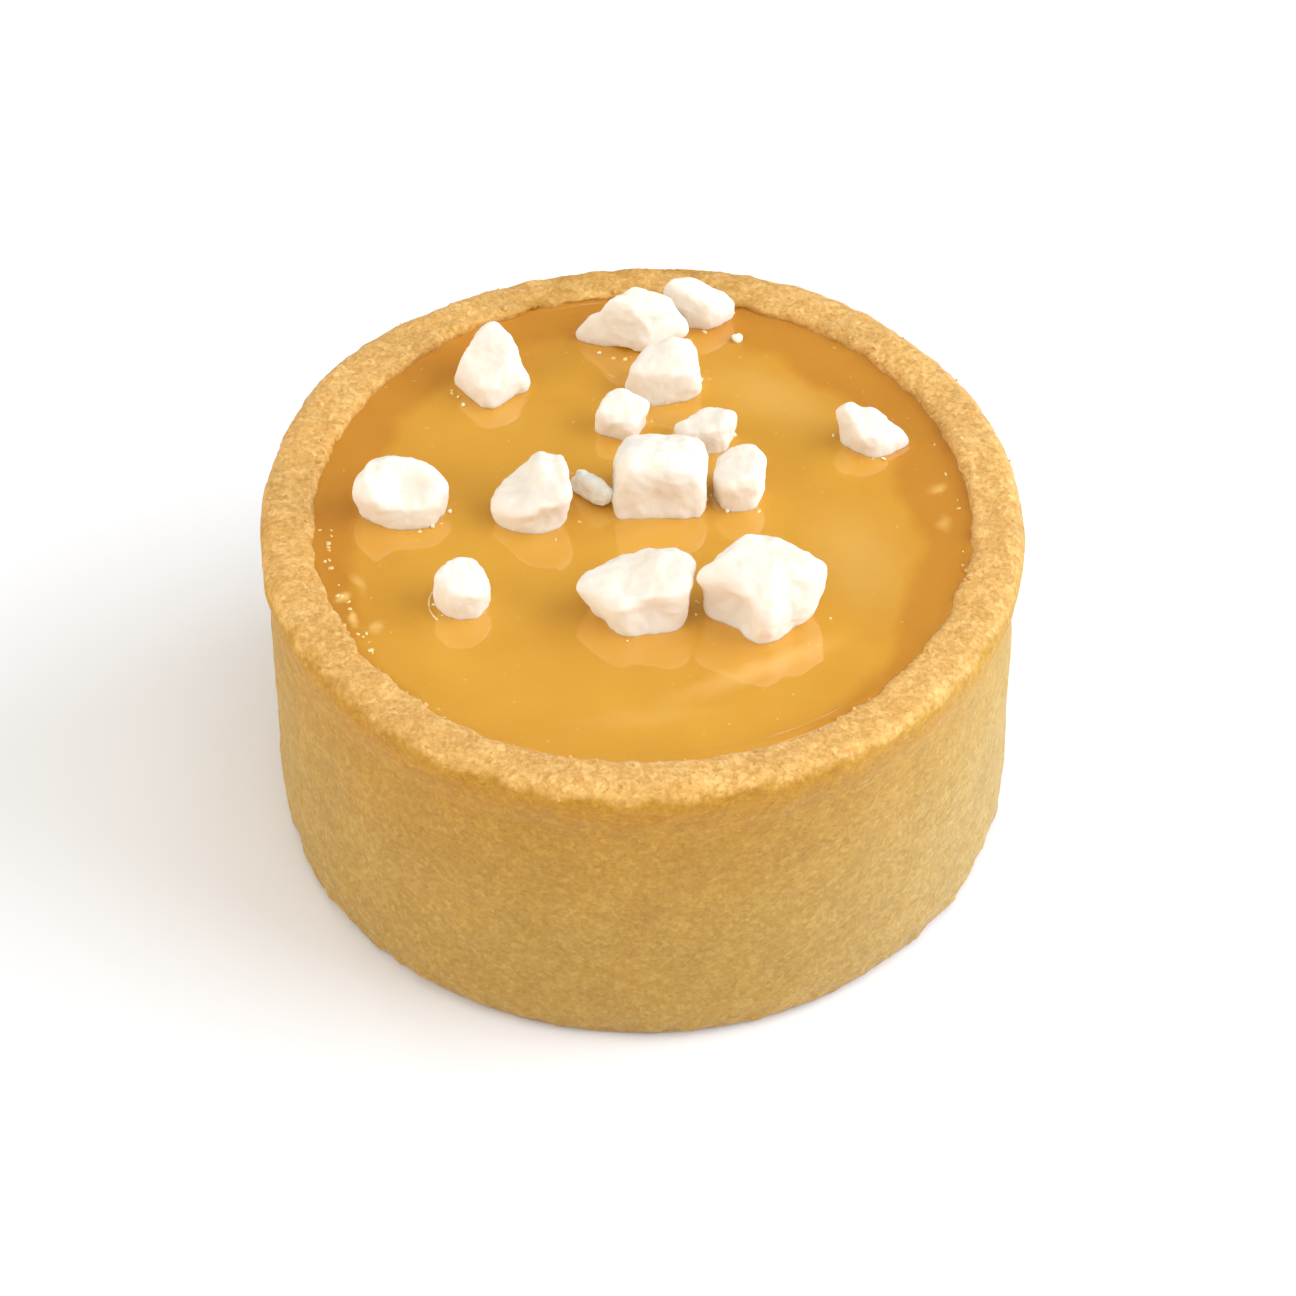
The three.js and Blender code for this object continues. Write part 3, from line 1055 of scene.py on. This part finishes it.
rng = random.Random(7)
stray = on_glaze(AXIS.x + STRAY_CRUMB[0], AXIS.y + STRAY_CRUMB[1]) + Vector((0, 0, STRAY_LIFT))
dust = [(stray, STRAY_SIZE)]
for spot in beside_chunks(2, 0.98, 1.1, rng):
    size = rng.uniform(0.18, 0.42) * MM
    dust.append((spot + Vector((0, 0, size / 4)), size))
meringue_dust = pebbles("meringue_dust", dust, seed=11)
dress(meringue_dust, dust_finish_painted_light, "meringue")

# %% [markdown]
# One sliver is too long to pass for a crumb, and it lies in plain sight. It gets a fine mesh of its
# own: a ball drawn out long and thin, turned, and broken with the chunks' own textures.

# %% Lay the long sliver beside the middle chunk
SLIVER_SIZE = (3.4 * MM, 1.6 * MM, 2.4 * MM)
SLIVER_TURN = math.radians(-40)
SLIVER_PLACE = (-3.45 * MM, 2.15 * MM)
SLIVER_LIFT = 0.95 * MM

sliver_middle = on_glaze(AXIS.x + SLIVER_PLACE[0], AXIS.y + SLIVER_PLACE[1]) + Vector((0, 0, SLIVER_LIFT))
bpy.ops.object.select_all(action="DESELECT")
bpy.ops.mesh.primitive_ico_sphere_add(subdivisions=5, radius=0.5, location=sliver_middle)
sliver = bpy.context.active_object
sliver.name = "sliver"
bpy.ops.object.mode_set(mode="EDIT")
bpy.ops.mesh.select_all(action="SELECT")
bpy.ops.transform.resize(value=SLIVER_SIZE, center_override=sliver_middle)
bpy.ops.transform.rotate(value=-SLIVER_TURN, orient_axis="Z", center_override=sliver_middle)
bpy.ops.object.mode_set(mode="OBJECT")
settle(sliver)
push_out(sliver, chunk_lumps, 0.9 * MM)
push_out(sliver, chunk_breaks, -0.7 * MM)
push_out(sliver, chunk_pits, 0.15 * MM)
take(sliver)
bpy.ops.object.shade_smooth()
dress(sliver, sliver_finish_painted_light, "meringue")
print("sliver has", len(sliver.data.polygons), "faces")

# %% [markdown]
# Crust crumbs cling to the rim. They are not spread evenly: most stick where the crust meets the wet
# glaze, and a few at the outer edge, where fingers touch it. Vertices of the crust itself are drawn
# at random, so that every crumb sits on the rough surface and none hangs over it.

# %% Scatter crust crumbs on the rim
CRUMB_DRAWS = 16000
CHANCE_AT_GLAZE = 0.10
CHANCE_AT_EDGE = 0.015
GLAZE_BAND = (INNER_RADIUS + 0.1 * MM, INNER_RADIUS + 0.9 * MM)
EDGE_WIDTH = 1.2 * MM

crumb_places = []
for vertex in rng.sample(list(crust.data.vertices), CRUMB_DRAWS):
    radius = math.hypot(vertex.co.x - AXIS.x, vertex.co.y - AXIS.y)
    at_glaze = GLAZE_BAND[0] < radius < GLAZE_BAND[1] and vertex.co.z > surface
    at_edge = radius > RIM_RADIUS - EDGE_WIDTH and vertex.co.z > RIM_HEIGHT - EDGE_WIDTH
    chance = CHANCE_AT_GLAZE if at_glaze else CHANCE_AT_EDGE if at_edge else 0.0
    if rng.random() < chance:
        crumb_places.append((vertex.co.copy(), rng.uniform(0.25, 0.6 if at_glaze else 0.35) * MM))
crust_crumbs = pebbles("crust_crumbs", crumb_places, seed=5)
dress(crust_crumbs, shortcrust_finish, "shortcrust")

# %% [markdown]
# ## Wet beads
#
# Small wet beads stand on the glaze, at the feet of the chunks and along the crust. Each is a dome so
# smooth that it shows a spark of light, which says more than anything else that the glaze is wet.
# Along the crust they gather at the left, the near left and the right.

# %% Choose places for the beads
BEADS_AT_CRUST = 26
CRUST_BEARINGS = (185, 205, 5)
BEARING_SPREAD = 22


def bead_at(point, size):
    """A placing for one bead, longer than wide and turned at random."""
    shape = (size * rng.uniform(0.9, 1.4), size * rng.uniform(0.5, 1.0), size)
    return point, shape, (0, 0, rng.uniform(0, math.pi))


bead_placings = []
for spot in beside_chunks(3, 1.0, 1.12, rng):
    bead_placings.append(bead_at(spot, rng.uniform(0.2, 0.4) * MM))
for _ in range(BEADS_AT_CRUST):
    bearing = math.radians(rng.choice(CRUST_BEARINGS) + rng.uniform(-BEARING_SPREAD, BEARING_SPREAD))
    radius = INNER_RADIUS - rng.uniform(0.25, 1.2) * MM
    spot = on_glaze(AXIS.x + radius * math.cos(bearing), AXIS.y + radius * math.sin(bearing))
    bead_placings.append(bead_at(spot, rng.uniform(0.15, 0.42) * MM))
print("beads placed:", len(bead_placings))

# %% [markdown]
# Beside one small chunk the glaze has drawn up into a thin bright thread. A curve with a bevel would
# be the usual way, but a row of stretched beads along an arc makes the same thread, a little uneven.

# %% Draw the thread and make the beads
THREAD_GAP = 0.45 * MM
THREAD_BEARINGS = range(158, 224, 6)
THREAD_BEAD = (0.5 * MM, 0.16 * MM, 0.3 * MM)
BEAD_FLATNESS = 0.45

low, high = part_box("meringue_12")
middle = (low + high) / 2
thread_radius = (high.x - low.x) / 2 + THREAD_GAP
for degrees in THREAD_BEARINGS:
    bearing = math.radians(degrees)
    x, y = middle.x + thread_radius * math.cos(bearing), middle.y + thread_radius * math.sin(bearing)
    spot = on_glaze(x, y)
    bead_placings.append((spot, THREAD_BEAD, (0, 0, bearing + math.pi / 2)))

bpy.ops.object.select_all(action="DESELECT")
bpy.ops.mesh.primitive_ico_sphere_add(subdivisions=2, radius=0.5)
bead_model = bpy.context.active_object
bpy.ops.object.mode_set(mode="EDIT")
bpy.ops.mesh.select_all(action="SELECT")
bpy.ops.transform.resize(value=(1, 1, BEAD_FLATNESS))
bpy.ops.object.mode_set(mode="OBJECT")
bead_piece = copies_of(bead_model, "glaze_beads", bead_placings)
dress(bead_piece, pale_glint_bead_finish, "glazed_curd")
